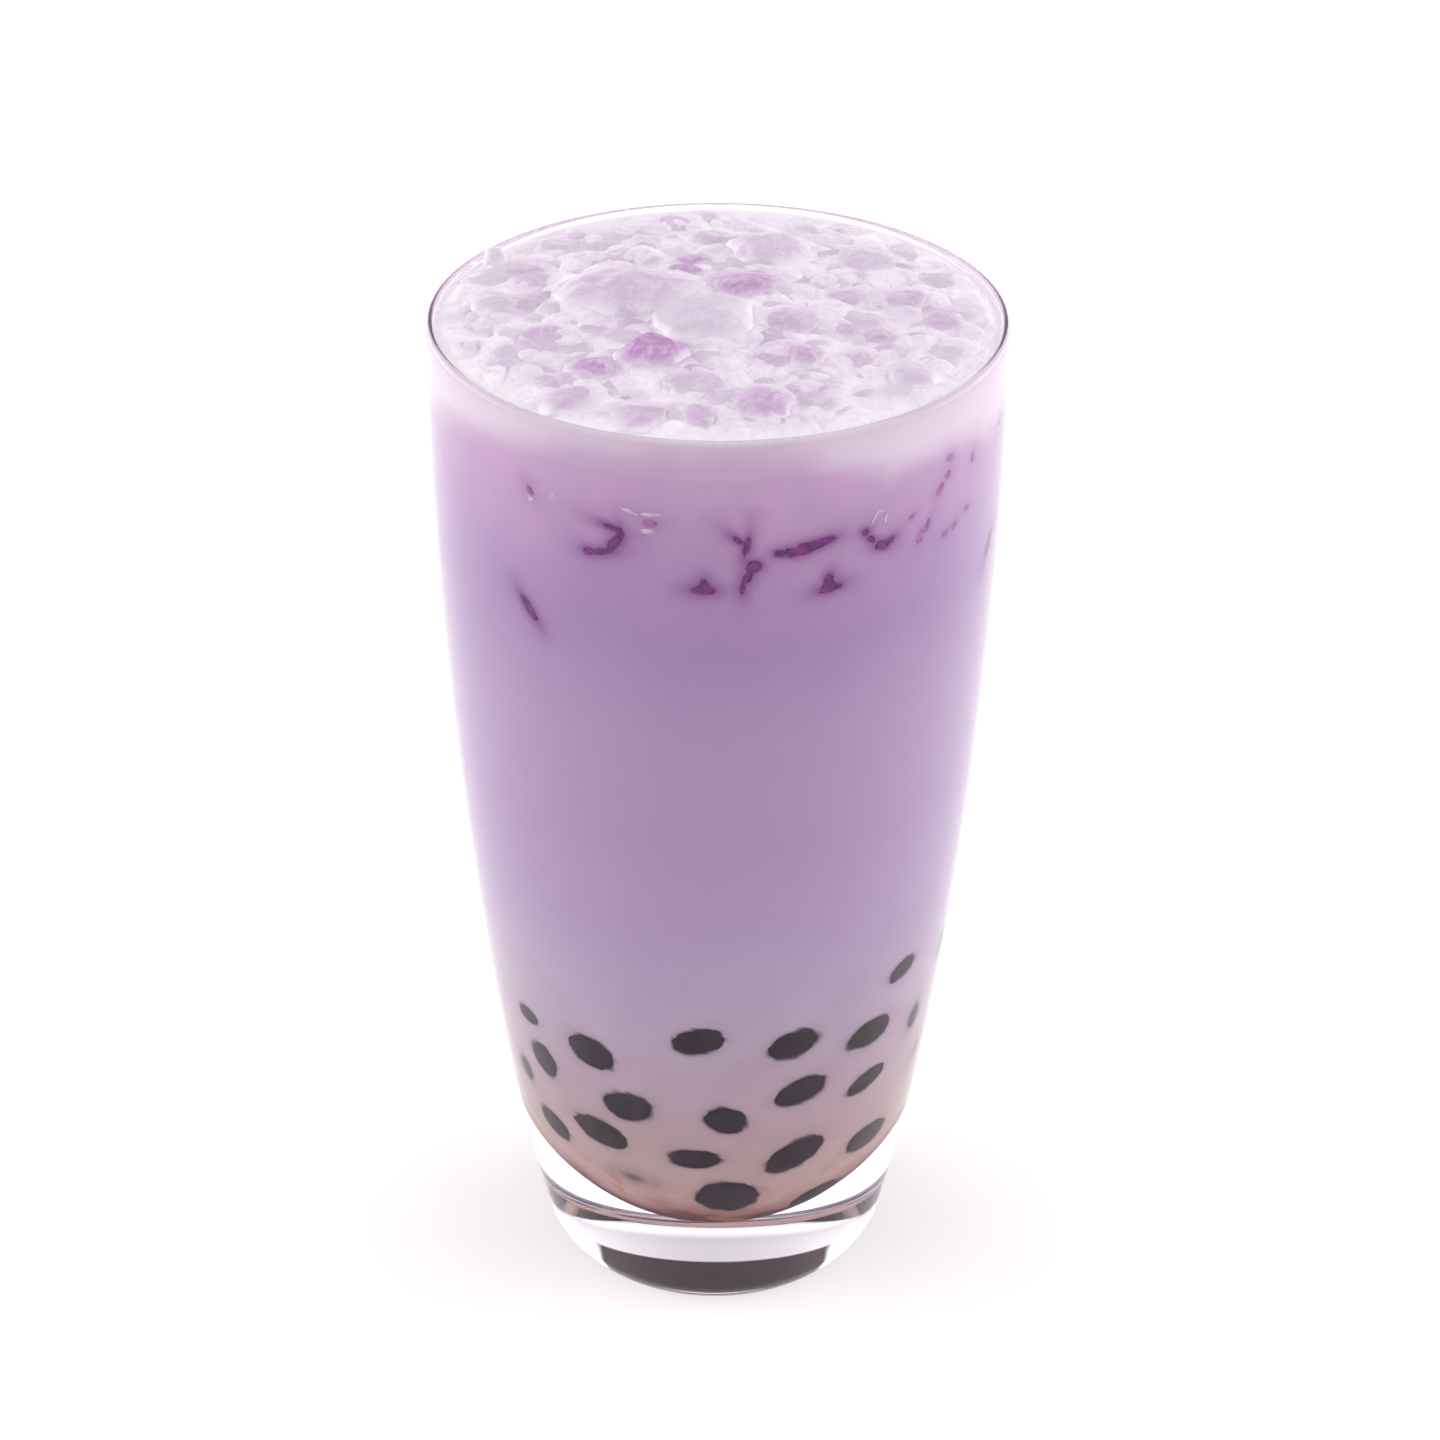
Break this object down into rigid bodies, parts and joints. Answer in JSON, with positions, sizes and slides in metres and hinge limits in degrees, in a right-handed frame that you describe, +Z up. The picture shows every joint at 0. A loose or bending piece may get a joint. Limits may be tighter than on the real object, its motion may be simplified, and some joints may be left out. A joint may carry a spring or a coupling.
{
  "type": "bubble tea in a glass tumbler",
  "caption": "Taro milk tea with tapioca pearls and crushed ice, filled to the brim of a tall clear tumbler with a barrel side and a heavy rounded base.",
  "frame": {"origin": "middle of the foot, on the surface that the glass stands on", "axes": "+Z up along the glass's axis; the picture's camera looks along +Y and down, with +X to its right"},
  "size_m": [0.0802, 0.0802, 0.1596],
  "materials": {
    "glass": "clear polished glass",
    "brown_sugar_syrup": "dark glossy syrup",
    "taro_milk_tea": "opaque lilac milk tea, warmer towards the pearls",
    "crushed_ice": "wet translucent ice in pale froth"
  },
  "bodies": {
    "root": {"glass": "glass", "brown_sugar_syrup": "brown_sugar_syrup", "taro_milk_tea": "taro_milk_tea", "crushed_ice_and_froth": "crushed_ice"}
  },
  "joints": []
}
